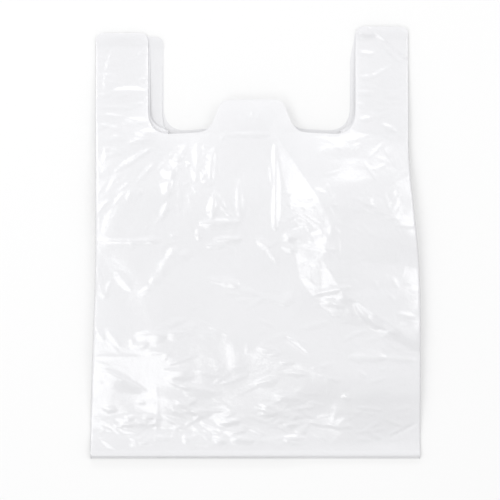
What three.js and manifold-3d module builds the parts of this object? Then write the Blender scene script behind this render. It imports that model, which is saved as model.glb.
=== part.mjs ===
// Plastic carrier bag of the vest kind, in thin white film, lying on its back.
//
// The real bag starts as a blown tube of film. Its two sides are tucked in as gussets, the bottom
// is welded across, the top is welded, and a die cuts the mouth through all the layers, which
// leaves two carrying loops and a tab between them. It is one piece, so it is one mesh here.
// The model follows the same steps: a gusseted tube pressed flat, the welds, the die cut, and
// then the film is let loose, so that its layers part, slide and crease as they lie.
//
// Millimetres. X runs across the bag, Y from the bottom weld to the loops, Z up from the surface.
import * as THREE from 'three';
import { mergeVertices } from 'three/addons/utils/BufferGeometryUtils.js';
import Module from 'manifold-3d';

// Sizes of the bag pressed flat
const bagWidth = 381;
const bagLength = 499;
const gussetDepth = 80;
const loopBandWidth = 64;
const mouthDepth = 126;
const mouthCornerRadius = 30;
const loopCornerRadius = 11;
const tabHeight = 41;
const tabTopWidth = 74;
const tabFootWidth = 104;
const tabFootLift = 4;
const tabCornerRadius = 9;
const tabFootRadius = 15;
const skirtLength = 8;
const weldWidth = 5;
const filmWall = 0.6;
const filmWaviness = 0.02;

// Clear space between neighbouring layers of film once the bag is let loose
const weldedGap = 0.45;
const sidePocketGap = 2.9;
const gussetGap = 2.0;
const bandPocketGap = 1.1;
const loopGap = 7.0;
const bodyCrown = 8;
const crownFlatness = 0.6;
const reliefShared = 0.6;

// Where the film closes up again
const bottomRise = 60;
const weldEase = 22;
const loopTopRise = 45;
const tabFall = 0.45;

// How the edges draw in towards the loops as the film gathers
const leftDrawIn = 6;
const rightDrawIn = 14;
const leftDrawInStart = 20;
const leftDrawInEnd = 240;
const rightDrawInStart = 120;
const rightDrawInEnd = 370;
const leftLoopShortfall = 7.5;

// How the back layers have slid under the front ones
const leftBackSlide = 18;
const rightBackSlide = 6.5;
const rightSlideFade = 45;
const backMouthLift = 5;
const backLoopDrop = 4;
const slideStart = 250;

// Mesh steps
const frontSteps = 30;
const backSteps = 8;
const gussetSteps = 3;
const foldSteps = 2;
const lengthSteps = 36;

const bagHalf = bagWidth / 2;
const mouthFloor = bagLength - mouthDepth;
const layerPitch = 4;
const foldRadius = layerPitch / 2;
const backLayer = 0;
const gussetBackLayer = 1;
const gussetFrontLayer = 2;
const frontLayer = 3;

// Creases of the front panel, as they lie. Each runs from one point to another: the first number
// of a point is its share of half the bag's width, from the middle, and the second its share of
// the bag's length, from the bottom edge. It stands up by its rise and falls away over its reach.
const creaseSharpness = 1.4;
const creases = [
  // The left loop and the storage fold across it
  { from: [-0.88, 0.93], to: [-0.91, 0.81], rise: 3.0, reach: 13 },
  { from: [-0.88, 0.85], to: [-0.66, 0.86], rise: 3.2, reach: 12 },
  { from: [-0.97, 0.82], to: [-0.65, 0.81], rise: 2.6, reach: 12 },
  // The left shoulder, where folds fan out below the corner of the mouth
  { from: [-0.56, 0.75], to: [-0.88, 0.65], rise: 6.0, reach: 16 },
  { from: [-0.44, 0.73], to: [-0.71, 0.61], rise: 5.0, reach: 15 },
  { from: [-0.41, 0.73], to: [-0.57, 0.54], rise: 5.5, reach: 15 },
  { from: [-0.33, 0.73], to: [-0.35, 0.60], rise: 6.0, reach: 18 },
  // The two upright folds that hang from the foot of the tab
  { from: [-0.20, 0.74], to: [-0.12, 0.55], rise: 5.0, reach: 15 },
  { from: [0.12, 0.75], to: [0.11, 0.54], rise: 7.5, reach: 15 },
  // The long fold that falls from the tab to the right-hand edge
  { from: [0.14, 0.75], to: [0.48, 0.55], rise: 8.0, reach: 20 },
  { from: [0.48, 0.55], to: [0.40, 0.46], rise: 7.0, reach: 20 },
  { from: [0.40, 0.46], to: [0.52, 0.38], rise: 7.5, reach: 20 },
  { from: [0.52, 0.38], to: [0.96, 0.27], rise: 6.5, reach: 20 },
  { from: [-0.10, 0.55], to: [0.18, 0.45], rise: 5.5, reach: 17 },
  { from: [0.13, 0.54], to: [0.46, 0.48], rise: 5.0, reach: 13 },
  // The left half of the body
  { from: [-0.34, 0.54], to: [-0.09, 0.53], rise: 4.5, reach: 15 },
  { from: [-0.41, 0.50], to: [-0.59, 0.39], rise: 4.5, reach: 16 },
  { from: [-0.97, 0.51], to: [-0.62, 0.50], rise: 3.5, reach: 13 },
  { from: [-0.98, 0.44], to: [-0.89, 0.38], rise: 4.0, reach: 15 },
  { from: [-0.98, 0.31], to: [-0.79, 0.24], rise: 4.0, reach: 16 },
  { from: [-0.92, 0.24], to: [-0.61, 0.23], rise: 3.0, reach: 12 },
  { from: [-0.88, 0.18], to: [-0.65, 0.12], rise: 4.5, reach: 17 },
  // The right shoulder and loop
  { from: [0.72, 1.00], to: [0.89, 0.92], rise: 4.0, reach: 14 },
  { from: [0.64, 0.88], to: [0.88, 0.85], rise: 2.8, reach: 13 },
  { from: [0.44, 0.73], to: [0.55, 0.65], rise: 5.5, reach: 17 },
  { from: [0.55, 0.73], to: [0.67, 0.68], rise: 4.5, reach: 14 },
  { from: [0.84, 0.75], to: [0.79, 0.59], rise: 4.0, reach: 15 },
  { from: [0.55, 0.51], to: [0.97, 0.51], rise: 3.2, reach: 13 },
  { from: [0.67, 0.38], to: [0.98, 0.39], rise: 3.5, reach: 13 },
  { from: [0.57, 0.24], to: [0.94, 0.22], rise: 3.2, reach: 13 },
  // The puckers above the bottom weld
  { from: [-0.38, 0.14], to: [-0.04, 0.10], rise: 5.0, reach: 17 },
  { from: [-0.16, 0.05], to: [0.14, 0.09], rise: 4.5, reach: 15 },
  { from: [0.12, 0.16], to: [0.30, 0.12], rise: 4.5, reach: 15 },
  { from: [0.37, 0.08], to: [0.77, 0.10], rise: 4.0, reach: 16 },
  { from: [-0.77, 0.04], to: [-0.48, 0.07], rise: 3.2, reach: 14 },
];

const wasm = await Module();
wasm.setup();

function smoothstep(start, end, value) {
  return THREE.MathUtils.smoothstep(value, start, end);
}

// A closed mesh as a solid that can be joined and cut.
function solidOf(geometry) {
  geometry.deleteAttribute('normal');
  geometry.deleteAttribute('uv');
  const merged = mergeVertices(geometry, 1e-4);
  const vertProperties = new Float32Array(merged.attributes.position.array);
  const triVerts = new Uint32Array(merged.index.array);
  return new wasm.Manifold(new wasm.Mesh({ numProp: 3, vertProperties, triVerts }));
}

// Points along one flat run of film, without its two ends.
function runPoints(startX, endX, height, steps) {
  const points = [];
  for (let i = 1; i < steps; i += 1) {
    points.push(new THREE.Vector2(THREE.MathUtils.lerp(startX, endX, i / steps), height));
  }
  return points;
}

// Points round one fold, from its top to its bottom, bulging to the side that outward names.
function foldPoints(middleX, middleZ, radius, outward) {
  const points = [];
  for (let i = 0; i <= foldSteps; i += 1) {
    const angle = Math.PI * (0.5 - i / foldSteps);
    points.push(new THREE.Vector2(
      middleX + outward * radius * Math.cos(angle),
      middleZ + radius * Math.sin(angle),
    ));
  }
  return points;
}

// The right half of the tube's section, from the middle of the front to the middle of the back.
// The offset puts it on the outer or the inner face of the film.
function halfSection(offset) {
  const edgeFoldX = bagHalf - foldRadius;
  const tuckX = bagHalf - gussetDepth + foldRadius;
  const top = frontLayer * layerPitch + offset;
  const tuckTop = gussetFrontLayer * layerPitch - offset;
  const tuckBottom = gussetBackLayer * layerPitch + offset;
  const bottom = backLayer * layerPitch - offset;
  return [
    new THREE.Vector2(0, top),
    ...runPoints(0, edgeFoldX, top, frontSteps / 2),
    ...foldPoints(edgeFoldX, (frontLayer - 0.5) * layerPitch, foldRadius + offset, 1),
    ...runPoints(edgeFoldX, tuckX, tuckTop, gussetSteps),
    ...foldPoints(tuckX, (gussetFrontLayer - 0.5) * layerPitch, foldRadius - offset, -1),
    ...runPoints(tuckX, edgeFoldX, tuckBottom, gussetSteps),
    ...foldPoints(edgeFoldX, (gussetBackLayer - 0.5) * layerPitch, foldRadius + offset, 1),
    ...runPoints(edgeFoldX, 0, bottom, backSteps / 2),
    new THREE.Vector2(0, bottom),
  ];
}

function fullSection(offset) {
  const right = halfSection(offset);
  const left = right.slice(1, -1).reverse();
  return [...right, ...left.map((point) => new THREE.Vector2(-point.x, point.y))];
}

// Where the cross-sections of the tube stand along its length: close together over the bottom
// weld, where the film parts, and evenly spaced above it.
function lengthStations() {
  const weldEnd = skirtLength + weldWidth;
  const stations = [0, skirtLength, weldEnd];
  for (let i = 1; i <= lengthSteps; i += 1) {
    stations.push(THREE.MathUtils.lerp(weldEnd, bagLength, i / lengthSteps));
  }
  return stations;
}

// The film is very slightly wavy. That keeps neighbouring facets of a flat run off one plane, so
// that the die cut keeps a point wherever it crosses the edge between two of them.
function waviness(row, i) {
  return filmWaviness * Math.sin(2.3 * i + 1.7 * row);
}

// The tube of film with its sides tucked in, pressed flat and open at both ends.
function gussetedTube() {
  const skins = [fullSection(filmWall / 2), fullSection(-filmWall / 2)];
  const stations = lengthStations();
  const around = skins[0].length;
  const positions = [];
  stations.forEach((y, row) => {
    skins.forEach((skin) => {
      skin.forEach((point, i) => positions.push(point.x, y, point.y + waviness(row, i)));
    });
  });
  const vertex = (row, skin, i) => (row * skins.length + skin) * around + i % around;
  const indices = [];
  const face = (a, b, c, d) => indices.push(a, b, c, a, c, d);
  const last = stations.length - 1;
  for (let i = 0; i < around; i += 1) {
    for (let row = 0; row < last; row += 1) {
      face(vertex(row, 0, i), vertex(row, 0, i + 1),
        vertex(row + 1, 0, i + 1), vertex(row + 1, 0, i));
      face(vertex(row, 1, i), vertex(row + 1, 1, i),
        vertex(row + 1, 1, i + 1), vertex(row, 1, i + 1));
    }
    face(vertex(0, 0, i), vertex(0, 1, i), vertex(0, 1, i + 1), vertex(0, 0, i + 1));
    face(vertex(last, 0, i), vertex(last, 0, i + 1),
      vertex(last, 1, i + 1), vertex(last, 1, i));
  }
  const geometry = new THREE.BufferGeometry();
  geometry.setAttribute('position', new THREE.Float32BufferAttribute(positions, 3));
  geometry.setIndex(indices);
  return solidOf(geometry);
}

// A weld through all the layers, over a rectangle of the flat bag.
function weld(startX, endX, startY, endY) {
  const stackHeight = (frontLayer - backLayer) * layerPitch;
  const geometry = new THREE.BoxGeometry(endX - startX, endY - startY, stackHeight);
  geometry.translate((startX + endX) / 2, (startY + endY) / 2, stackHeight / 2);
  return solidOf(geometry);
}

// Adds a corner to an outline, rounded off by its radius.
function roundedCorner(shape, before, corner, after, radius) {
  const start = corner.clone().lerp(before, radius / corner.distanceTo(before));
  const end = corner.clone().lerp(after, radius / corner.distanceTo(after));
  shape.lineTo(start.x, start.y);
  shape.quadraticCurveTo(corner.x, corner.y, end.x, end.y);
}

// What the die leaves of the flat bag: the body, the two loops, the mouth and the tab.
function dieOutline() {
  const margin = 1;
  const sideX = bagHalf + margin;
  const innerX = bagHalf - loopBandWidth;
  const topY = bagLength + margin;
  const rightHalf = [
    { x: sideX, y: topY, radius: loopCornerRadius },
    { x: innerX, y: topY, radius: loopCornerRadius },
    { x: innerX, y: mouthFloor, radius: mouthCornerRadius },
    { x: tabFootWidth / 2, y: mouthFloor + tabFootLift, radius: tabFootRadius },
    { x: tabTopWidth / 2, y: mouthFloor + tabHeight, radius: tabCornerRadius },
  ];
  const leftHalf = rightHalf.map(({ x, y, radius }) => ({ x: -x, y, radius })).reverse();
  const corners = [...rightHalf, ...leftHalf];
  const bottomRight = new THREE.Vector2(sideX, -margin);
  const bottomLeft = new THREE.Vector2(-sideX, -margin);
  const points = corners.map(({ x, y }) => new THREE.Vector2(x, y));
  const shape = new THREE.Shape();
  shape.moveTo(bottomRight.x, bottomRight.y);
  corners.forEach(({ radius }, i) => {
    const before = points[i - 1] ?? bottomRight;
    const after = points[i + 1] ?? bottomLeft;
    roundedCorner(shape, before, points[i], after, radius);
  });
  shape.lineTo(bottomLeft.x, bottomLeft.y);
  return shape;
}

function dieBlock() {
  const stackHeight = (frontLayer - backLayer) * layerPitch;
  const geometry = new THREE.ExtrudeGeometry(dieOutline(), {
    depth: stackHeight + 2 * layerPitch,
    bevelEnabled: false,
    curveSegments: 6,
  });
  geometry.translate(0, 0, -layerPitch);
  return solidOf(geometry);
}

// The flat bag: the tube, its welds at the bottom and at the top of both loops, and the die cut.
function flatBag() {
  const weldInset = foldRadius / 2;
  const side = bagHalf - weldInset;
  const loopInner = bagHalf - loopBandWidth;
  const bottomWeld = weld(-side, side, skirtLength, skirtLength + weldWidth);
  const leftWeld = weld(-side, -loopInner, bagLength - weldWidth, bagLength);
  const rightWeld = weld(loopInner, side, bagLength - weldWidth, bagLength);
  const welded = gussetedTube().add(bottomWeld).add(leftWeld).add(rightWeld);
  return welded.intersect(dieBlock());
}

// How a point of the flat bag moves over the surface when the film is let loose.
function slideInPlan(x, y, layer) {
  const leftEdge = -bagHalf + leftDrawIn * smoothstep(leftDrawInStart, leftDrawInEnd, y);
  const rightEdge = bagHalf - rightDrawIn * smoothstep(rightDrawInStart, rightDrawInEnd, y) ** 2;
  const across = (x + bagHalf) / bagWidth;
  const drawnX = THREE.MathUtils.lerp(leftEdge, rightEdge, across);
  const alongLoop = smoothstep(mouthFloor, bagLength, y);
  const leftShare = 1 - smoothstep(-bagHalf + loopBandWidth, 0, x);
  const rightShare = smoothstep(0, bagHalf - loopBandWidth, x);
  const shortening = leftLoopShortfall * leftShare * alongLoop;
  const backShare = 1 - smoothstep(gussetBackLayer, gussetFrontLayer, layer);
  const grip = smoothstep(slideStart, mouthFloor, y);
  const rightFade = 1 - smoothstep(bagLength - rightSlideFade, bagLength, y);
  const slideX = (leftBackSlide * leftShare - rightBackSlide * rightShare * rightFade) * grip;
  const slideY = backMouthLift * grip - (backMouthLift + backLoopDrop) * leftShare * alongLoop
    - backMouthLift * rightShare * alongLoop;
  return {
    x: drawnX + slideX * backShare,
    y: y - shortening + slideY * backShare,
  };
}

// A crease's two ends, in millimetres.
function creaseEnds({ from, to }) {
  return [from, to].map(([across, along]) => (
    new THREE.Vector2(across * bagHalf, along * bagLength)
  ));
}

// How much one crease lifts the film at a point.
function creaseRise(crease, point) {
  const [start, end] = creaseEnds(crease);
  const run = end.sub(start);
  const offset = point.clone().sub(start);
  const held = THREE.MathUtils.clamp(offset.dot(run) / run.lengthSq(), 0, 1);
  const distance = offset.distanceTo(run.multiplyScalar(held));
  return crease.rise * Math.max(0, 1 - distance / crease.reach) ** creaseSharpness;
}

// The highest crease at a point, so that folds that meet run into each other.
function creasedHeight(x, y) {
  const point = new THREE.Vector2(x, y);
  return creases.reduce((height, crease) => Math.max(height, creaseRise(crease, point)), 0);
}

// Heights of the four layers over a point of the surface, from the back up to the front.
function layerHeights(x, y) {
  const weldEnd = skirtLength + weldWidth;
  const loopWeldStart = bagLength - weldWidth - leftLoopShortfall - backLoopDrop;
  const inLoops = smoothstep(mouthFloor - mouthCornerRadius, mouthFloor + mouthCornerRadius, y);
  const bandStart = bagHalf - loopBandWidth - rightDrawIn - rightBackSlide;
  const overLoop = smoothstep(tabFootWidth / 2, bandStart, Math.abs(x)) * inLoops;
  const belowTop = 1 - smoothstep(loopWeldStart - loopTopRise, loopWeldStart, y);
  const free = THREE.MathUtils.lerp(1, belowTop, overLoop);
  const opened = smoothstep(weldEnd, weldEnd + bottomRise, y) * free;
  const fallen = 1 - tabFall * smoothstep(mouthFloor, mouthFloor + tabHeight, y);
  const crown = Math.cos(Math.min(1, Math.abs(x) / bagHalf) * Math.PI / 2) ** crownFlatness;
  const bodyPocket = sidePocketGap + bodyCrown * crown * fallen / 2;
  const pocketGap = THREE.MathUtils.lerp(bodyPocket, bandPocketGap, overLoop);
  const middleGap = THREE.MathUtils.lerp(gussetGap, loopGap, overLoop);
  const pocket = filmWall + THREE.MathUtils.lerp(weldedGap, pocketGap, opened);
  const gap = filmWall + THREE.MathUtils.lerp(weldedGap, middleGap, opened);
  const relief = creasedHeight(x, y) * smoothstep(weldEnd, weldEnd + weldEase, y) * free;
  const backHeight = filmWall / 2;
  const gussetBackHeight = backHeight + pocket;
  const gussetFrontHeight = gussetBackHeight + gap + relief * overLoop * reliefShared;
  const frontHeight = gussetBackHeight + gap + pocket + relief;
  return [backHeight, gussetBackHeight, gussetFrontHeight, frontHeight];
}

// The height of a point that lies at a given level of the flat stack. The film keeps its wall,
// and what lies between two layers is spread evenly over the space between them.
function looseHeight(x, y, flatZ) {
  const heights = layerHeights(x, y);
  const half = filmWall / 2;
  const nearest = THREE.MathUtils.clamp(Math.round(flatZ / layerPitch), backLayer, frontLayer);
  const fromNearest = flatZ - nearest * layerPitch;
  const wavySlack = 2 * filmWaviness;
  if (Math.abs(fromNearest) <= half + wavySlack) {
    return heights[nearest] + Math.sign(fromNearest) * half;
  }
  const below = Math.floor(flatZ / layerPitch);
  const start = heights[below] + half;
  const end = heights[below + 1] - half;
  const share = (flatZ - below * layerPitch - half) / (layerPitch - filmWall);
  return THREE.MathUtils.lerp(start, end, share);
}

// Lets the flat bag loose: every point slides over the surface and takes its new height.
function letLoose(solid) {
  const { vertProperties, triVerts, numProp } = solid.getMesh();
  const positions = new Float32Array(vertProperties.length / numProp * 3);
  for (let i = 0; i < positions.length / 3; i += 1) {
    const [x, y, flatZ] = vertProperties.slice(i * numProp, i * numProp + 3);
    const plan = slideInPlan(x, y, flatZ / layerPitch);
    positions.set([plan.x, plan.y, looseHeight(plan.x, plan.y, flatZ)], i * 3);
  }
  const geometry = new THREE.BufferGeometry();
  geometry.setAttribute('position', new THREE.BufferAttribute(positions, 3));
  geometry.setIndex(new THREE.BufferAttribute(new Uint32Array(triVerts), 1));
  geometry.computeVertexNormals();
  return geometry;
}

const bagGeometry = letLoose(flatBag());
bagGeometry.computeBoundingBox();
const bounds = bagGeometry.boundingBox;
const middle = bounds.getCenter(new THREE.Vector3());
bagGeometry.translate(-middle.x, -middle.y, -bounds.min.z);

const film = new THREE.MeshStandardMaterial({
  color: '#eef0f2',
  roughness: 0.28,
  metalness: 0,
  side: THREE.DoubleSide,
});

const carrierBag = new THREE.Mesh(bagGeometry, film);
carrierBag.name = 'carrier_bag';

const bag = new THREE.Group();
bag.add(carrierBag);

export default bag;
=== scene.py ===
import math
import random

import bpy
import numpy as np
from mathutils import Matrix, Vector
from mathutils.geometry import delaunay_2d_cdt


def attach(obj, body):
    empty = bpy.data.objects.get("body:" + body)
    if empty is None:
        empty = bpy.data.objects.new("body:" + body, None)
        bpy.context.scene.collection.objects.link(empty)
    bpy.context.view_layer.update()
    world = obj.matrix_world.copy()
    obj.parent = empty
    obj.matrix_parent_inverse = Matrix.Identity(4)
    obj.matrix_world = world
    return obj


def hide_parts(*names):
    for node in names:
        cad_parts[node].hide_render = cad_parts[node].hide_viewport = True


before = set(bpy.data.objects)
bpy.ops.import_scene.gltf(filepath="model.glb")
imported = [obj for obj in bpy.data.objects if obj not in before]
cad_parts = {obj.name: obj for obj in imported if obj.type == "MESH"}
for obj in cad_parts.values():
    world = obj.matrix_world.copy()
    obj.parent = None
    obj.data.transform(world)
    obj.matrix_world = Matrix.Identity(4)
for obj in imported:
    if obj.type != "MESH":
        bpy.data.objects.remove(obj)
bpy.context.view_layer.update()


# The film's flat cut.
# The bag is one blown tube of thin white polythene with both sides tucked in as gussets. A die
# cuts the mouth through all the layers, which leaves two carrying loops and a tab. Millimetres,
# with x from the bag's middle and y up from its bottom edge.

BAG_HALF = 190.5
BAG_LENGTH = 499.0
GUSSET_DEPTH = 80.0
INNER_FOLD = BAG_HALF - GUSSET_DEPTH
MOUTH_FLOOR = 373.0
LOOP_BAND = 64.0
LOOP_INSIDE = BAG_HALF - LOOP_BAND
TAB_TOP = 414.0
TAB_TOP_HALF = 37.0
TAB_FOOT = MOUTH_FLOOR + 4.0
TAB_FOOT_HALF = 52.0
# How far apart the mesh's points are on the front panel, on the layers under it and up the folds.
FRONT_SPACING = 1.78
HIDDEN_SPACING = 3.5
FOLD_SPACING = 2.5
# How far a fold's rounding reaches into the panel, and the rows of points that carry it.
FOLD_REACH = 1.8
FOLD_ROWS = (0.5, 1.1, 1.8)


def smooth(start, end, value):
    """Goes from 0 at start to 1 at end, level at both."""
    t = np.clip((np.asarray(value, float) - start) / (end - start), 0.0, 1.0)
    return t * t * (3.0 - 2.0 * t)


def lerp(a, b, share):
    return a + (b - a) * share


def even_steps(a, b, spacing):
    """Points from a up to, and without, b."""
    a, b = np.array(a, float), np.array(b, float)
    count = max(1, int(round(np.linalg.norm(b - a) / spacing)))
    return [a + (b - a) * i / count for i in range(count)]


def die_line(spacing):
    """The cut from the middle of the tab to the outer side of the right loop's top."""
    rounded_corners = [
        ((TAB_TOP_HALF, TAB_TOP), 9.0),
        ((TAB_FOOT_HALF, TAB_FOOT), 15.0),
        ((LOOP_INSIDE, MOUTH_FLOOR), 30.0),
        ((LOOP_INSIDE, BAG_LENGTH), 11.0),
        ((BAG_HALF, BAG_LENGTH), 10.0),
    ]
    before = np.array((0.0, TAB_TOP))
    ends = [np.array(corner) for corner, _ in rounded_corners[1:]] + [np.array((BAG_HALF, 0.0))]
    line = []
    start = before
    for (corner, radius), after in zip(rounded_corners, ends):
        corner = np.array(corner)
        enter = corner + (before - corner) * radius / np.linalg.norm(before - corner)
        leave = corner + (after - corner) * radius / np.linalg.norm(after - corner)
        line += even_steps(start, enter, spacing)
        for t in np.arange(0, 8) / 8:
            line.append((1 - t) ** 2 * enter + 2 * t * (1 - t) * corner + t * t * leave)
        start, before = leave, corner
    line.append(start)
    return np.array(line)


def right_of(line, x_start):
    """The part of the cut that lies beyond x_start, with a point where it crosses."""
    first = int(np.argmax(line[:, 0] > x_start))
    a, b = line[first - 1], line[first]
    crossing = lerp(a, b, (x_start - a[0]) / (b[0] - a[0]))
    return np.vstack([crossing, line[first:]])


def side_run(x, y_top):
    """Points up a fold line from the bottom edge to, and without, y_top."""
    stations = np.arange(0.0, y_top - 0.6 * FOLD_SPACING, FOLD_SPACING)
    return np.column_stack([np.full(len(stations), x), stations])


def panel_outline(kind, spacing):
    """The closed outline of one flat panel, in order round it."""
    line = die_line(spacing)
    if kind == "wide":
        left = line[::-1] * (-1, 1)
        top = np.vstack([left, line[1:]])[::-1]
        right_side = side_run(BAG_HALF, top[0, 1])
        left_side = side_run(-BAG_HALF, top[-1, 1])
        bottom = np.array(even_steps((-BAG_HALF, 0.0), (BAG_HALF, 0.0), spacing))[1:]
        return np.vstack([bottom, right_side, top, left_side[::-1]])
    top = right_of(line, INNER_FOLD)[::-1]
    outer_side = side_run(BAG_HALF, top[0, 1])
    inner_side = side_run(INNER_FOLD, top[-1, 1])
    bottom = np.array(even_steps((INNER_FOLD, 0.0), (BAG_HALF, 0.0), spacing))[1:]
    outline = np.vstack([bottom, outer_side, top, inner_side[::-1]])
    return outline if kind == "right" else (outline * (-1, 1))[::-1]


def clear_of(points, outline, reach):
    """Which points lie inside an outline, and further from it than reach."""
    a, b = outline, np.roll(outline, -1, axis=0)
    run = b - a
    length = (run ** 2).sum(1)
    keep = np.zeros(len(points), bool)
    for part in np.array_split(np.arange(len(points)), 1 + len(points) // 4000):
        p = points[part][:, None, :]
        share = np.clip(((p - a) * run).sum(2) / length, 0, 1)
        far = ((p - a - share[..., None] * run) ** 2).sum(2).min(1) > reach ** 2
        spans = (a[:, 1] > p[..., 1]) != (b[:, 1] > p[..., 1])
        with np.errstate(divide="ignore", invalid="ignore"):
            x_at = a[:, 0] + (p[..., 1] - a[:, 1]) * run[:, 0] / run[:, 1]
        keep[part] = far & ((spans & (p[..., 0] < x_at)).sum(1) % 2 == 1)
    return keep


def cut_panel(kind, spacing):
    """A flat panel as points and triangles, with extra rows beside its folds."""
    outline = panel_outline(kind, spacing)
    fold_lines = {
        "wide": (-BAG_HALF, BAG_HALF),
        "right": (INNER_FOLD, BAG_HALF),
        "left": (-BAG_HALF, -INNER_FOLD),
    }
    low, high = fold_lines[kind]
    rows = []
    for depth in FOLD_ROWS:
        for x in (low + depth, high - depth):
            ys = np.arange(1.2, BAG_LENGTH, FOLD_SPACING)
            rows.append(np.column_stack([np.full(len(ys), x), ys]))
    rows = np.vstack(rows)
    rows = rows[clear_of(rows, outline, 0.35)]
    xs = np.arange(low + FOLD_ROWS[-1] + 0.8 * spacing, high - FOLD_ROWS[-1] - 0.6 * spacing, spacing)
    ys = np.arange(spacing * 0.7, BAG_LENGTH, spacing * math.sqrt(0.75))
    grid_x, grid_y = np.meshgrid(xs, ys)
    grid_x[1::2] += spacing / 2
    field = np.column_stack([grid_x.ravel(), grid_y.ravel()])
    field = field[clear_of(field, outline, 0.55 * spacing)]
    points = np.vstack([outline, rows, field])
    count = len(outline)
    edges = [(i, (i + 1) % count) for i in range(count)]
    result = delaunay_2d_cdt([Vector(p) for p in points], edges, [], 1, 1e-5)
    return np.array([tuple(v) for v in result[0]]), np.array(result[2])


def folded(x, level):
    """Rounds a panel's long edges over into its neighbours, as a place and a level.

    The levels are 0 for the back panel, 1 and 2 for the gussets' two sides and 3 for the front.
    """
    side = np.where(x < 0, -1.0, 1.0)
    deep = np.clip(1 - (BAG_HALF - np.abs(x)) / FOLD_REACH, 0, 1) * math.pi / 2
    outer_middle = 2.5 if level >= 2 else 0.5
    to_layer = 0.5 if level in (3, 1) else -0.5
    new_x = np.where(deep > 0, side * (BAG_HALF - FOLD_REACH + FOLD_REACH * np.sin(deep)), x)
    new_level = np.where(deep > 0, outer_middle + to_layer * np.cos(deep), float(level))
    if level in (1, 2):
        tuck = np.clip(1 - (np.abs(x) - INNER_FOLD) / FOLD_REACH, 0, 1) * math.pi / 2
        to_layer = 0.5 if level == 2 else -0.5
        new_x = np.where(tuck > 0, side * (INNER_FOLD + FOLD_REACH - FOLD_REACH * np.sin(tuck)), new_x)
        new_level = np.where(tuck > 0, 1.5 + to_layer * np.cos(tuck), new_level)
    return new_x, new_level


# The panels in their order round the tube, each with its level and with how far round the tube a
# point of it is. Neighbours are joined where they share a fold, so that the film is one sheet.
FRONT_START = 2 * GUSSET_DEPTH
FRONT_END = FRONT_START + 2 * BAG_HALF
BACK_START = FRONT_END + 2 * GUSSET_DEPTH
TUBE_ROUND = BACK_START + 2 * BAG_HALF
panels = [
    ("left", 1, HIDDEN_SPACING, lambda x: x + BAG_HALF),
    ("left", 2, HIDDEN_SPACING, lambda x: FRONT_START - (x + BAG_HALF)),
    ("wide", 3, FRONT_SPACING, lambda x: FRONT_START + BAG_HALF + x),
    ("right", 2, HIDDEN_SPACING, lambda x: FRONT_END + BAG_HALF - x),
    ("right", 1, HIDDEN_SPACING, lambda x: FRONT_END + GUSSET_DEPTH - INNER_FOLD + x),
    ("wide", 0, HIDDEN_SPACING, lambda x: BACK_START + BAG_HALF - x),
]
flat_points, flat_round, flat_level, flat_faces = [], [], [], []
offset = 0
for kind, level, spacing, way_round in panels:
    points, faces = cut_panel(kind, spacing)
    new_x, new_level = folded(points[:, 0], level)
    flat_points.append(np.column_stack([new_x, points[:, 1]]))
    flat_round.append(np.column_stack([way_round(points[:, 0]) % TUBE_ROUND, points[:, 1]]))
    flat_level.append(new_level)
    flat_faces.append((faces if level in (1, 3) else faces[:, ::-1]) + offset)
    offset += len(points)
flat_points, flat_round = np.vstack(flat_points), np.vstack(flat_round)
flat_level, flat_faces = np.concatenate(flat_level), np.vstack(flat_faces)
keys = np.round(flat_round, 2)
keys[keys[:, 0] >= TUBE_ROUND - 0.005, 0] = 0.0
_, first, joined = np.unique(keys, axis=0, return_index=True, return_inverse=True)
joined = joined.ravel()
flat_points, flat_level = flat_points[first], flat_level[first]
flat_faces = joined[flat_faces]


# How the bag lies.
# It was folded flat for storage, shaken open, gathered in the hand by its loops and laid down on
# its back. The layers part and slide, and the film keeps every crease it was given.

WELD_END = 13.0
LOOP_WELD = BAG_LENGTH - 16.5
# How far the back layers show past the front ones in the loops, and along the mouth.
LEFT_SLIDE = 18.0
RIGHT_SLIDE = 6.5
MOUTH_SLIDE = 5.0
# The back of the tab slides up only this share as far.
TAB_SLIDE_SHARE = 0.25
# How far the back bands of the loops sit lower than the front ones, and the whole left loop
# than the right one.
LEFT_BAND_DROP = 9.0
RIGHT_BAND_DROP = 5.0
LEFT_LOOP_DROP = 7.5
# How far the sides draw in above the bottom edge.
LEFT_DRAWN_IN = 6.0
RIGHT_DRAWN_IN = 14.0


def slid(x, y, level):
    """The place over the table of a point of the flat bag."""
    left_edge = -BAG_HALF + LEFT_DRAWN_IN * smooth(20, 240, y)
    right_edge = BAG_HALF - RIGHT_DRAWN_IN * smooth(120, 370, y) ** 2
    across = (x + BAG_HALF) / (2 * BAG_HALF)
    along_loop = smooth(MOUTH_FLOOR, BAG_LENGTH, y)
    left_share = 1 - smooth(-LOOP_INSIDE, 0, x)
    right_share = smooth(0, LOOP_INSIDE, x)
    # Both sides of a gusset slide as one at its inner fold.
    in_gusset = (level > 0.6) & (level < 2.4)
    near_tuck = (1 - smooth(2, 22, np.abs(x) - BAG_HALF + GUSSET_DEPTH)) * in_gusset
    back_share = lerp(1 - smooth(1, 2, level), 0.5, near_tuck)
    grip = smooth(250, MOUTH_FLOOR, y)
    right_fade = 1 - smooth(BAG_LENGTH - 45, BAG_LENGTH, y)
    slide_x = (LEFT_SLIDE * left_share - RIGHT_SLIDE * right_share * right_fade) * grip
    off_tab = lerp(TAB_SLIDE_SHARE, 1.0, smooth(35, 60, np.abs(x)))
    slide_y = MOUTH_SLIDE * off_tab * grip
    slide_y = slide_y - LEFT_BAND_DROP * left_share * along_loop
    slide_y = slide_y - RIGHT_BAND_DROP * right_share * along_loop
    new_x = lerp(left_edge, right_edge, across) + slide_x * back_share
    return new_x, y - LEFT_LOOP_DROP * left_share * along_loop + slide_y * back_share


SMALL_CREASE = 2.5


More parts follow.
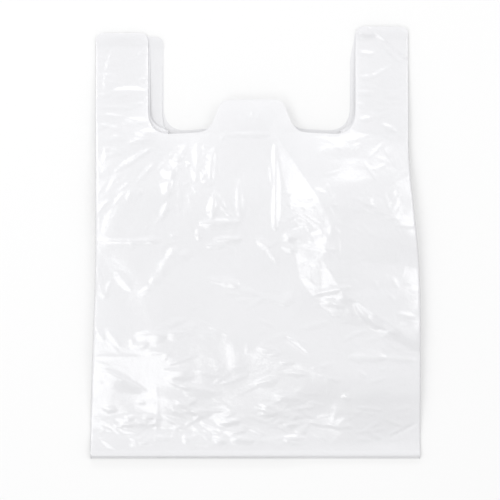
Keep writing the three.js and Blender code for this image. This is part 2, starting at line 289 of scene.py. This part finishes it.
def ridge_rise(x, y, ridge):
    """The height of a straight ridge with plane flanks, below 0 outside it."""
    ax, ay, bx, by, rise_a, rise_b, slope_left, slope_right = ridge
    run_x, run_y = bx - ax, by - ay
    length = math.hypot(run_x, run_y)
    run_x, run_y = run_x / length, run_y / length
    along = (x - ax) * run_x + (y - ay) * run_y
    aside = (y - ay) * run_x - (x - ax) * run_y
    past = np.maximum(0, -along) + np.maximum(0, along - length)
    share = np.clip(along / length, 0, 1)
    rise = lerp(rise_a, rise_b, share)
    # A small crease thins out towards both ends, and a large fold runs into the next one.
    if max(rise_a, rise_b) < SMALL_CREASE:
        rise = rise * (1 - 0.55 * np.abs(2 * share - 1) ** 3)
    away = np.hypot(aside, past)
    slope = lerp(slope_right, slope_left, 0.5 + 0.5 * aside / np.maximum(away, 1e-6))
    return rise - slope * away


def highest_of(x, y, ridges):
    """The height of the highest ridge at each point, or 0."""
    height = np.zeros(len(x))
    for ridge in ridges:
        ax, ay, bx, by, rise_a, rise_b, slope_left, slope_right = ridge
        reach = max(rise_a, rise_b) / min(slope_left, slope_right)
        near = np.flatnonzero((x > min(ax, bx) - reach) & (x < max(ax, bx) + reach)
                              & (y > min(ay, by) - reach) & (y < max(ay, by) + reach))
        height[near] = np.maximum(height[near], ridge_rise(x[near], y[near], ridge))
    return height


# The creases of the front panel, set where the real bag has them. Each is its two
# ends, its rise at both, and the slopes of its flanks on the left and right of its run.
ridges = [
    # the left loop
    (-164, 476, -173, 447, 0.5, 0.7, 0.03, 0.22),
    (-173, 447, -174, 423, 0.7, 0.5, 0.03, 0.22),
    (-164, 425, -129, 425, 1.4, 1.6, 0.28, 0.08),
    (-137, 479, -129, 479, 0.6, 0.8, 0.25, 0.25),
    (-136, 468, -127, 468, 0.6, 0.8, 0.25, 0.25),
    (-134, 438, -126, 438, 0.6, 0.8, 0.25, 0.25),
    (-183, 418, -167, 422, 0.3, 1.2, 0.2, 0.2),
    (-147, 409, -128, 410, 0.7, 0.7, 0.25, 0.2),
    (-182, 406, -143, 406, 0.6, 0.6, 0.25, 0.15),
    (-175, 397, -151, 394, 0.8, 0.5, 0.2, 0.2),
    (-149, 392, -125, 388, 0.6, 0.9, 0.2, 0.2),
    (-182, 386, -156, 381, 0.5, 0.5, 0.15, 0.15),
    # the left shoulder
    (-136, 376, -113, 376, 0.8, 1.2, 0.25, 0.2),
    (-147, 364, -122, 370, 0.5, 1.2, 0.2, 0.2),
    (-179, 359, -157, 354, 0.6, 0.8, 0.2, 0.2),
    (-174, 348, -147, 357, 0.6, 0.4, 0.15, 0.15),
    (-160, 332, -120, 357, 1.3, 0.7, 0.2, 0.3),
    (-136, 319, -117, 340, 0.8, 0.8, 0.25, 0.2),
    (-112, 333, -101, 345, 0.8, 0.5, 0.2, 0.2),
    (-132, 311, -133, 303, 0.8, 0.6, 0.2, 0.2),
    (-79, 362, -89, 342, 0.8, 1.4, 0.3, 0.1),
    (-89, 342, -98, 322, 1.4, 1.8, 0.3, 0.1),
    (-98, 322, -101, 301, 1.8, 1, 0.3, 0.12),
    (-101, 293, -107, 278, 1, 1, 0.25, 0.15),
    (-107, 278, -114, 271, 1, 0.4, 0.25, 0.15),
    (-126, 269, -125, 263, 0.7, 0.6, 0.2, 0.2),
    (-66, 361, -68, 322, 0.9, 1.3, 0.2, 0.16),
    (-49, 357, -52, 318, 1.2, 1.6, 0.25, 0.16),
    (-71, 349, -53, 315, 0.8, 1.2, 0.2, 0.16),
    (-46, 310, -49, 278, 0.8, 2.2, 0.35, 0.2),
    (-44, 305, -34, 286, 1, 1.2, 0.25, 0.2),
    (-34, 286, -24, 277, 1.2, 0.6, 0.25, 0.2),
    (-20, 321, -17, 278, 0.8, 1.6, 0.2, 0.2),
    (-63, 272, -18, 274, 1.6, 1.8, 0.33, 0.2),
    (-66, 265, -65, 253, 1.2, 1.2, 0.3, 0.3),
    (-48, 253, -17, 254, 1.4, 1.5, 0.33, 0.25),
    (-57, 246, -34, 247, 1.2, 1.2, 0.32, 0.25),
    (-98, 257, -87, 258, 0.6, 0.6, 0.2, 0.2),
    (-109, 246, -87, 252, 0.4, 0.4, 0.2, 0.2),
    # the left half of the body
    (-90, 242, -101, 231, 0.8, 1, 0.12, 0.12),
    (-101, 231, -109, 212, 1, 1.2, 0.12, 0.12),
    (-109, 212, -121, 202, 1.2, 0.6, 0.12, 0.12),
    (-183, 220, -175, 188, 0.6, 1.2, 0.2, 0.15),
    (-166, 205, -174, 187, 0.5, 1, 0.15, 0.15),
    (-160, 215, -144, 197, 0.7, 0.9, 0.12, 0.12),
    (-36, 209, -18, 197, 1.1, 0.9, 0.14, 0.1),
    (-18, 197, 0, 189, 0.9, 0.3, 0.14, 0.1),
    (-136, 144, -104, 144, 1.4, 1.4, 0.3, 0.1),
    (-101, 146, -71, 147, 1.4, 0.4, 0.3, 0.1),
    (-183, 150, -175, 138, 0.8, 0.8, 0.2, 0.2),
    (-170, 151, -157, 131, 0.7, 0.7, 0.12, 0.12),
    (-122, 124, -101, 123, 0.5, 0.4, 0.1, 0.1),
    (-106, 102, -77, 103, 1, 1, 0.4, 0.1),
    (-171, 101, -127, 79, 2.4, 1, 0.4, 0.12),
    (-163, 48, -117, 50, 1, 1, 0.4, 0.12),
    (-161, 39, -117, 43, 1, 1, 0.4, 0.12),
    (-143, 13, -121, 21, 0.9, 0.6, 0.2, 0.2),
    (-114, 85, -115, 19, 0.4, 0.5, 0.1, 0.15),
    # the puckers above the bottom weld
    (-82, 86, -40, 77, 1.8, 0.8, 0.44, 0.1),
    (-72, 55, -53, 56, 1.4, 1.4, 0.44, 0.12),
    (-43, 41, -20, 46, 1.2, 1.4, 0.44, 0.12),
    (-70, 37, -50, 25, 1.4, 1.4, 0.44, 0.12),
    (-50, 25, -33, 21, 1.4, 1, 0.42, 0.12),
    (-33, 33, -10, 37, 1.1, 1.1, 0.42, 0.15),
    (-28, 26, -3, 21, 1.2, 1.2, 0.4, 0.15),
    (-81, 31, -80, 16, 0.8, 0.8, 0.2, 0.2),
    (-91, 36, -96, 23, 0.6, 0.6, 0.2, 0.2),
    (8, 64, 28, 57, 1.4, 1.6, 0.44, 0.12),
    (28, 57, 55, 48, 1.6, 0.8, 0.44, 0.12),
    (29, 37, 47, 41, 1, 1, 0.42, 0.15),
    (35, 25, 55, 26, 1.2, 1.2, 0.4, 0.2),
    (37, 18, 55, 19, 1, 1, 0.38, 0.2),
    (34, 26, 40, 16, 0.9, 0.9, 0.25, 0.25),
    (114, 30, 151, 35, 0.5, 0.5, 0.2, 0.2),
    (100, 73, 109, 70, 0.7, 0.7, 0.2, 0.2),
    (63, 41, 111, 36, 0.9, 0.9, 0.1, 0.4),
    # the folds that hang from the tab
    (30, 372, 53, 349, 1, 1.4, 0.12, 0.3),
    (24, 345, 22, 266, 1, 2.4, 0.27, 0.45),
    (23, 372, 24, 279, 1.6, 1.6, 0.3, 0.3),
    (17, 342, 20, 312, 0.7, 0.9, 0.25, 0.25),
    (34, 253, 75, 263, 2, 1, 0.12, 0.3),
    (28, 370, 90, 273, 2.5, 9, 0.06, 0.205),
    (90, 273, 77, 232, 9, 7, 0.06, 0.25),
    (77, 232, 100, 193, 7, 7, 0.06, 0.24),
    (100, 193, 182, 136, 7, 3, 0.06, 0.3),
    (66, 231, 101, 204, 2.6, 2, 0.3, 0.15),
    (101, 195, 149, 157, 3, 1.2, 0.3, 0.14),
    (94, 158, 148, 158, 0.9, 0.9, 0.1, 0.35),
    (51, 151, 83, 158, 0.6, 0.6, 0.12, 0.12),
    (101, 136, 117, 147, 0.7, 0.7, 0.25, 0.25),
    (108, 142, 127, 148, 0.7, 0.7, 0.25, 0.25),
    (2, 254, 17, 244, 1.1, 1.4, 0.2, 0.15),
    (16, 244, 26, 226, 1.4, 0.6, 0.2, 0.15),
    (31, 246, 50, 239, 1.2, 0.9, 0.18, 0.18),
    (55, 242, 90, 236, 1.2, 0.8, 0.18, 0.18),
    (33, 180, 43, 190, 1, 1, 0.12, 0.12),
    (-6, 393, -2, 400, 0.6, 0.6, 0.25, 0.25),
    (1, 389, 4, 399, 0.5, 0.5, 0.25, 0.25),
    (-36, 374, 21, 374, 1.1, 1.1, 0.36, 0.3),
    (-36, 374, -40, 365, 0.9, 0.3, 0.2, 0.2),
    (21, 374, 26, 365, 0.9, 0.3, 0.2, 0.2),
    # the right shoulder
    (77, 347, 88, 366, 1.6, 1, 0.3, 0.25),
    (88, 366, 95, 353, 0.6, 1.2, 0.25, 0.25),
    (95, 353, 105, 356, 1.2, 1.2, 0.25, 0.25),
    (105, 354, 127, 372, 1.4, 0.6, 0.2, 0.2),
    (79, 345, 104, 347, 2.2, 2.2, 0.3, 0.25),
    (81, 330, 106, 330, 1.8, 1.8, 0.3, 0.3),
    (79, 345, 81, 330, 1.4, 1.4, 0.25, 0.25),
    (104, 347, 106, 330, 1.4, 1.4, 0.25, 0.25),
    (85, 329, 113, 311, 1.2, 1, 0.25, 0.2),
    (100, 296, 115, 285, 0.9, 0.9, 0.2, 0.2),
    (115, 294, 141, 288, 0.6, 0.6, 0.1, 0.1),
    (163, 345, 170, 350, 1, 1, 0.25, 0.25),
    (169, 338, 174, 319, 0.8, 0.8, 0.25, 0.25),
    (157, 290, 165, 296, 0.7, 0.7, 0.2, 0.2),
    (148, 317, 155, 331, 0.7, 0.7, 0.15, 0.15),
    (93, 266, 134, 253, 0.8, 0.8, 0.12, 0.12),
    # the right loop
    (133, 497, 174, 464, 2.6, 1.6, 0.07, 0.6),
    (140, 484, 167, 458, 1.2, 1, 0.1, 0.4),
    (151, 496, 173, 470, 0.7, 0.7, 0.25, 0.2),
    (116, 493, 137, 489, 1.4, 2.4, 0.07, 0.55),
    (119, 468, 138, 468, 0.7, 0.7, 0.25, 0.2),
    (120, 440, 134, 440, 0.7, 0.7, 0.25, 0.2),
    (134, 440, 155, 453, 0.7, 0.5, 0.25, 0.2),
    (118, 422, 135, 423, 0.9, 0.9, 0.25, 0.2),
    (149, 418, 169, 420, 0.7, 0.7, 0.25, 0.2),
    (120, 391, 135, 394, 0.9, 0.9, 0.25, 0.2),
    (146, 386, 162, 378, 0.8, 1.1, 0.25, 0.2),
    (116, 410, 124, 407, 0.8, 0.8, 0.25, 0.2),
    (141, 416, 173, 416, 0.3, 0.3, 0.2, 0.2),
    (141, 411, 173, 410, 0.4, 0.4, 0.2, 0.2),
    (139, 405, 173, 404, 0.4, 0.4, 0.2, 0.2),
    # the straight creases that storage left
    (-183, 251, -110, 251.5, 0.7, 0.5, 0.2, 0.24),
    (103, 252, 172, 251, 0.5, 0.7, 0.2, 0.24),
    (-186, 118, -128, 118, 0.6, 0.4, 0.2, 0.22),
    (111, 119, 150, 118, 0.7, 0.3, 0.22, 0.24),
    (150, 118, 182, 119, 0.3, 0.2, 0.2, 0.24),
    # the right half of the body
    (139, 146, 185, 134, 0.9, 1.2, 0.1, 0.2),
    (131, 195, 185, 188, 0.8, 1, 0.1, 0.18),
    (109, 118, 151, 117, 1.4, 1.2, 0.25, 0.2),
    (151, 117, 185, 114, 1, 0.6, 0.2, 0.2),
    (36, 143, 55, 134, 0.9, 0.9, 0.25, 0.4),
    (29, 112, 43, 112, 0.7, 0.7, 0.2, 0.2),
]
# Creases that are pressed in, in the same form.
pleats = [
    (35, 292, 72, 265, 0.9, 0.9, 0.4, 0.4),
    (39, 274, 55, 282, 0.7, 0.7, 0.4, 0.4),
    (55, 282, 73, 271, 0.7, 0.7, 0.4, 0.4),
    (40, 265, 55, 270, 0.7, 0.7, 0.4, 0.4),
    (55, 270, 72, 267, 0.7, 0.7, 0.4, 0.4),
    (33, 141, 60, 121, 1, 1, 0.3, 0.3),
    (159, 27, 185, 40, 1, 1, 0.3, 0.3),
]


dice = random.Random(41)


def scattered(count, x_range, y_range, heading, spread, lengths, rises, slopes):
    """Ridges strewn over a rectangle, turned about a heading by up to the spread, in degrees."""
    found = []
    for _ in range(count):
        x, y = dice.uniform(*x_range), dice.uniform(*y_range)
        turn = math.radians(heading(x, y) + dice.uniform(-spread, spread))
        half = dice.uniform(*lengths) / 2
        rise = dice.uniform(*rises)
        found.append((x - half * math.cos(turn), y - half * math.sin(turn),
                      x + half * math.cos(turn), y + half * math.sin(turn),
                      rise * dice.uniform(0.3, 1), rise, dice.uniform(*slopes), dice.uniform(*slopes)))
    return found


def from_corner(corner_x):
    """The heading of folds that fan out from a corner of the mouth."""
    return lambda x, y: math.degrees(math.atan2(y - MOUTH_FLOOR, x - corner_x))


def steady(degrees):
    """The heading of folds that all run one way."""
    return lambda x, y: degrees


crosswise = steady(0.0)
from_left_loop = from_corner(-108)
# How many, over which x and y, their heading and its spread, and their lengths, rises and slopes.
broad_folds = (
    scattered(70, (-185, 185), (30, 365), crosswise, 90, (40, 120), (0.5, 1.7), (0.02, 0.07))
    + scattered(16, (-185, -60), (240, 372), from_left_loop, 12, (30, 80), (1.0, 2.2), (0.06, 0.14))
    + scattered(12, (80, 180), (250, 372), crosswise, 38, (30, 70), (0.8, 2.0), (0.06, 0.14))
    + scattered(26, (-180, 180), (16, 74), crosswise, 26, (30, 90), (0.8, 2.0), (0.06, 0.14))
)
fine_crinkles = (
    scattered(170, (-186, 182), (20, 370), crosswise, 90, (6, 26), (0.12, 0.4), (0.05, 0.16))
    + scattered(34, (-150, 90), (70, 262), crosswise, 34, (12, 44), (0.5, 1.2), (0.08, 0.26))
    + scattered(34, (-182, -122), (366, 470), crosswise, 16, (8, 30), (0.15, 0.5), (0.08, 0.22))
    + scattered(40, (116, 178), (366, 490), crosswise, 20, (8, 30), (0.15, 0.5), (0.08, 0.22))
    + scattered(110, (-178, 60), (16, 66), crosswise, 38, (10, 32), (0.6, 1.5), (0.2, 0.5))
    + scattered(40, (40, 176), (16, 110), crosswise, 36, (8, 30), (0.3, 0.9), (0.14, 0.42))
    + scattered(26, (26, 88), (244, 310), steady(-35.0), 45, (8, 24), (0.3, 0.9), (0.12, 0.32))
    + scattered(14, (50, 98), (205, 262), steady(-50.0), 40, (8, 26), (0.2, 0.7), (0.1, 0.24))
    + scattered(18, (78, 138), (158, 206), steady(-35.0), 40, (8, 28), (0.3, 0.8), (0.1, 0.3))
    + scattered(18, (120, 182), (120, 168), steady(-12.0), 30, (8, 30), (0.3, 0.8), (0.1, 0.3))
    + scattered(16, (-102, -76), (285, 362), steady(65.0), 50, (5, 14), (0.3, 0.8), (0.15, 0.35))
    + scattered(12, (-70, -50), (312, 362), steady(85.0), 60, (5, 14), (0.3, 0.8), (0.15, 0.35))
    + scattered(40, (-180, -70), (280, 372), from_left_loop, 16, (8, 30), (0.15, 0.5), (0.08, 0.22))
    + scattered(30, (80, 176), (262, 376), crosswise, 60, (8, 28), (0.2, 0.7), (0.1, 0.28))
)


# Long, low waves between the folds, 45 to 130 mm from crest to crest, with flanks no steeper than
# the slope here. Each has its run across and along, its start and its height.
SWELL_SLOPE = 0.012
swells = []
for _ in range(14):
    turn, wave = dice.uniform(0, math.pi), 2 * math.pi / dice.uniform(45, 130)
    start = dice.uniform(0, 6.3)
    swells.append((wave * math.cos(turn), wave * math.sin(turn), start, SWELL_SLOPE / wave))

pairs = np.vstack([flat_faces[:, [0, 1]], flat_faces[:, [1, 2]], flat_faces[:, [2, 0]]])
film_edges = np.unique(np.sort(pairs, axis=1), axis=0)


def eased(values, rounds, where):
    """Rounds the crests off: each point moves half way to the mean of its neighbours."""
    inside = film_edges[where[film_edges].all(1)]
    count = np.bincount(inside.ravel(), minlength=len(values))
    for _ in range(rounds):
        total = np.bincount(inside[:, 0], values[inside[:, 1]], len(values))
        total += np.bincount(inside[:, 1], values[inside[:, 0]], len(values))
        values = np.where(count > 0, 0.5 * values + 0.5 * total / np.maximum(count, 1), values)
    return values


# How far apart the layers stand: pressed together in a weld, and open elsewhere.
PRESSED_GAP = 0.12
BODY_POCKET = 4.4
CROWN_POCKET = 3.0
LOOP_POCKET = 1.3
BODY_GAP = 2.4
LOOP_GAP = 5.0
LOOP_FADE = 115
BACK_HEIGHT = 0.3
# How far above the weld the bag is fully open, at its left and at its right.
LEFT_BOTTOM_RUN = 140.0
RIGHT_BOTTOM_RUN = 85.0
# What share of its height the front panel loses towards the mouth, and what the tab regains.
MOUTH_FALL = 0.45
TAB_LIFT = 0.22
# The least share of their height that the creases keep towards the loops' weld, and the share
# that the layer under the front band takes on.
LEAST_CREASE = 0.75
CREASE_THROUGH = 0.6


def layer_heights(x, y, relief):
    """The heights of the four layers, from the back panel up to the front one."""
    in_loops = smooth(MOUTH_FLOOR - 70, MOUTH_FLOOR + 45, y)
    over_loop = smooth(52, 106, np.abs(x)) * in_loops
    off_weld = (LOOP_WELD - y) / LOOP_FADE
    free = lerp(1.0, lerp(smooth(0, 1, off_weld), np.clip(off_weld, 0, 1), 0.6), over_loop)
    bottom_run = lerp(LEFT_BOTTOM_RUN, RIGHT_BOTTOM_RUN, smooth(-40, 130, x))
    opened = smooth(WELD_END, WELD_END + bottom_run, y) * free
    # The front panel falls towards the mouth, and the tab lifts again towards its end.
    past_mouth = np.clip((y - MOUTH_FLOOR - 2) / 40, 0, 1)
    fallen = 1 - MOUTH_FALL * smooth(290, MOUTH_FLOOR + 2, y) + TAB_LIFT * past_mouth
    crown = np.cos(np.minimum(1, np.abs(x) / BAG_HALF) * math.pi / 2) ** 0.6
    body_pocket = (BODY_POCKET + CROWN_POCKET * crown) * fallen
    pocket = lerp(PRESSED_GAP, lerp(body_pocket, LOOP_POCKET, over_loop), opened)
    gap = lerp(PRESSED_GAP, lerp(BODY_GAP, LOOP_GAP, over_loop), opened)
    raised = relief * smooth(WELD_END - 6, WELD_END + 12, y) * np.maximum(free, LEAST_CREASE)
    back = np.full(len(x), BACK_HEIGHT)
    gusset_back = back + pocket
    gusset_front = gusset_back + gap + raised * over_loop * CREASE_THROUGH
    return back, gusset_back, gusset_front, back + 2 * pocket + gap + raised


flat_x, flat_y = flat_points.T
bag_x, bag_y = slid(flat_x, flat_y, flat_level)
shown = flat_level > 2.0
relief = np.zeros(len(bag_x))
# Each kind of fold with its share of the height and how often it is eased.
kinds = ((broad_folds, 0.72, 14), (ridges, 1.0, 1), (fine_crinkles, 1.0, 1), (pleats, -1.0, 0))
for folds, share, rounds in kinds:
    lifted = np.zeros(len(bag_x))
    lifted[shown] = share * highest_of(bag_x[shown], bag_y[shown], folds)
    relief += eased(lifted, rounds, shown)
for wave_x, wave_y, start, lift in swells:
    relief[shown] += lift * (1 + np.sin(bag_x[shown] * wave_x + bag_y[shown] * wave_y + start))
heights = np.array(layer_heights(bag_x, bag_y, relief))
below = np.clip(np.floor(flat_level).astype(int), 0, 2)
pick = np.arange(len(bag_x))
bag_z = lerp(heights[below, pick], heights[below + 1, pick], flat_level - below)

# The die leaves the cut edge of the front panel very slightly turned up.
LIP_RISE = 0.2
LIP_WIDTH = 2.6
cut_line = die_line(4.0)
cut_line = np.vstack([cut_line[::-1] * (-1, 1), cut_line[1:]])
near_cut = np.flatnonzero((flat_level > 2.6) & (flat_y > MOUTH_FLOOR - 6))
a, run = cut_line[:-1], np.diff(cut_line, axis=0)
from_a = flat_points[near_cut][:, None, :] - a
share = np.clip((from_a * run).sum(2) / (run ** 2).sum(1), 0, 1)
to_cut = np.sqrt(((from_a - share[..., None] * run) ** 2).sum(2).min(1))
bag_z[near_cut] += LIP_RISE * np.clip(1 - to_cut / LIP_WIDTH, 0, 1)

# The welded tops of the loops tip up a little.
TIP_START = 483.0
TIP_SLOPE = 0.11
bag_z += TIP_SLOPE * np.maximum(0, flat_y - TIP_START)

# The bottom weld curls up off the table, less at its right, and the skirt below it turns down
# again. The skirt's layers part a little.
SKIRT_PARTING = 0.5
to_right = smooth(20, 70, bag_x)
curl_rise, curl_end = lerp(5.0, 3.0, to_right), lerp(36.0, 24.0, to_right)
bag_z += curl_rise * smooth(0.0, 3.0, bag_y) * (1 - smooth(6.0, curl_end, bag_y))
bag_z += SKIRT_PARTING * smooth(0.0, 2.4, bag_y) * (1 - smooth(7.0, 9.0, bag_y)) * (flat_level / 3)

film = bpy.data.meshes.new("film_bag")
places = np.column_stack([bag_x, bag_y - BAG_LENGTH / 2, bag_z]) / 1000
centre_x = (places[:, 0].min() + places[:, 0].max()) / 2
places[:, 0] -= centre_x
film.from_pydata(places.tolist(), [], flat_faces.tolist())
film.validate()
film.polygons.foreach_set("use_smooth", [True] * len(film.polygons))
film_bag = bpy.data.objects.new("film_bag", film)
bpy.context.scene.collection.objects.link(film_bag)
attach(film_bag, "root")
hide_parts("carrier_bag")


# The film's material.
# High-density polythene, blown 18 micrometres thick and lightly whitened. Blowing leaves both
# faces smooth, so the film shines in every crease, and it is milky and slightly see-through.


def linear(hex_colour):
    """An sRGB hex colour as linear values with full alpha."""
    values = [int(hex_colour[i:i + 2], 16) / 255 for i in (1, 3, 5)]
    return [v / 12.92 if v <= 0.04045 else ((v + 0.055) / 1.055) ** 2.4 for v in values] + [1.0]


def add_node(tree, kind, links=(), **settings):
    """Adds a node, sets what is named, and links (its input, the output that feeds it)."""
    node = tree.nodes.new(kind)
    for name, value in settings.items():
        if name in node.inputs:
            node.inputs[name].default_value = value
        else:
            setattr(node, name, value)
    for socket, source in links:
        tree.links.new(source, node.inputs[socket])
    return node


film_white = linear("#f7f7f9")
polythene = bpy.data.materials.new("white_polythene_film")
polythene.use_nodes = True
tree = polythene.node_tree
tree.nodes.clear()
place = add_node(tree, "ShaderNodeTexCoord")
# Crinkles about 12 mm and 4 mm across and 0.1 mm high, too fine for the mesh.
crinkle = add_node(tree, "ShaderNodeTexVoronoi", [("Vector", place.outputs["Object"])],
                   feature="DISTANCE_TO_EDGE", Scale=80.0)
fine = add_node(tree, "ShaderNodeTexNoise", [("Vector", place.outputs["Object"])],
                Scale=260.0, Detail=3.0, Roughness=0.5)
both = add_node(tree, "ShaderNodeMath", [(0, fine.outputs["Fac"]), (1, crinkle.outputs["Distance"])],
                operation="ADD")
bump = add_node(tree, "ShaderNodeBump", [("Height", both.outputs["Value"])],
                Strength=0.25, Distance=0.0004)
surface = add_node(tree, "ShaderNodeBsdfPrincipled", [("Normal", bump.outputs["Normal"])],
                   **{"Base Color": film_white, "Roughness": 0.16, "IOR": 1.54,
                      "Specular IOR Level": 0.4})
# The whitening scatters some light on through the film, and a little passes straight through.
milk = add_node(tree, "ShaderNodeBsdfTranslucent", Color=film_white)
body = add_node(tree, "ShaderNodeMixShader",
                [(1, surface.outputs["BSDF"]), (2, milk.outputs["BSDF"])], Fac=0.14)
clear_film = add_node(tree, "ShaderNodeBsdfTransparent")
mixed = add_node(tree, "ShaderNodeMixShader",
                 [(1, clear_film.outputs["BSDF"]), (2, body.outputs["Shader"])], Fac=0.92)
# Both faces of the film reflect alike, also where it is clear, and more when seen edge-on.
skin = add_node(tree, "ShaderNodeBsdfGlossy", [("Normal", bump.outputs["Normal"])], Roughness=0.155)
edge_on = add_node(tree, "ShaderNodeLayerWeight", [("Normal", bump.outputs["Normal"])], Blend=0.05)
sheen_share = add_node(tree, "ShaderNodeMapRange", [("Value", edge_on.outputs["Facing"])],
                       **{"To Min": 0.056, "To Max": 1.0})
coated = add_node(tree, "ShaderNodeMixShader",
                  [("Fac", sheen_share.outputs["Result"]), (1, mixed.outputs["Shader"]),
                   (2, skin.outputs["BSDF"])])
add_node(tree, "ShaderNodeOutputMaterial", [("Surface", coated.outputs["Shader"])])
film.materials.append(polythene)


# The table top, the lamps and the camera.
# A plain table under a camera that looks straight down. Soft boxes round it shine in the creases,
# and the table top glows only to the camera and in reflections, so that it is white behind the
# film and keeps its shadow.

bpy.ops.object.select_all(action="DESELECT")
bpy.ops.mesh.primitive_plane_add(size=8.0, location=(0, 0, 0))
floor = bpy.context.object
floor.name = "floor"
floor_paint = bpy.data.materials.new("white_table_top")
floor_paint.use_nodes = True
tree = floor_paint.node_tree
tree.nodes.clear()
paint = add_node(tree, "ShaderNodeBsdfDiffuse", Color=linear("#cccccc"))
glow = add_node(tree, "ShaderNodeEmission", Color=(1, 1, 1, 1), Strength=0.296)
path = add_node(tree, "ShaderNodeLightPath")
seen = add_node(tree, "ShaderNodeMath",
                [(0, path.outputs["Is Camera Ray"]), (1, path.outputs["Is Glossy Ray"])],
                operation="MAXIMUM")
shade = add_node(tree, "ShaderNodeAddShader",
                 [(0, paint.outputs["BSDF"]), (1, glow.outputs["Emission"])])
lit = add_node(tree, "ShaderNodeMixShader",
               [("Fac", seen.outputs["Value"]), (1, paint.outputs["BSDF"]),
                (2, shade.outputs["Shader"])])
add_node(tree, "ShaderNodeOutputMaterial", [("Surface", lit.outputs["Shader"])])
floor.data.materials.append(floor_paint)

# White light from all round, which fills the shadows in.
world = bpy.data.worlds.new("studio")
bpy.context.scene.world = world
world.use_nodes = True
surround = world.node_tree.nodes["Background"]
surround.inputs["Color"].default_value = (1, 1, 1, 1)
surround.inputs["Strength"].default_value = 0.69


def softbox(name, azimuth, off_zenith, width, length, radiance, distance=3.2):
    """A flat lamp that faces the bag. Azimuth 0 is beyond the loops and 90 on the right."""
    turn, lean = math.radians(azimuth), math.radians(off_zenith)
    aim = Vector((math.sin(turn) * math.sin(lean), math.cos(turn) * math.sin(lean), math.cos(lean)))
    lamp = bpy.data.lights.new(name, "AREA")
    lamp.shape = "RECTANGLE"
    lamp.size, lamp.size_y = width, length
    lamp.energy = radiance * math.pi * width * length
    holder = bpy.data.objects.new(name, lamp)
    holder.location = aim * distance
    holder.rotation_euler = aim.to_track_quat("Z", "Y").to_euler()
    bpy.context.scene.collection.objects.link(holder)


# Each shines in the creases that lean its way, and the low one shapes the folds.
softbox("lamp_beyond", 0, 36, 2.0, 0.9, 2.2)
softbox("lamp_left", 290, 33, 1.3, 1.5, 2.4)
softbox("lamp_right", 72, 35, 1.2, 1.3, 2.1)
softbox("lamp_near", 223, 28, 1.5, 1.1, 2.25)
softbox("lamp_low", 352, 66, 3.2, 0.7, 7.0, distance=5.0)

camera_height = 2.5
view_width = 0.575
film_top = 0.015
camera = bpy.data.cameras.new("camera")
camera.sensor_width = 36.0
camera.lens = camera.sensor_width * (camera_height - film_top) / view_width
eye = bpy.data.objects.new("camera", camera)
middle_of_view = (-0.0062, -0.0085)
eye.location = (*middle_of_view, camera_height)
bpy.context.scene.collection.objects.link(eye)
bpy.context.scene.camera = eye
bpy.context.scene.view_settings.view_transform = "Standard"
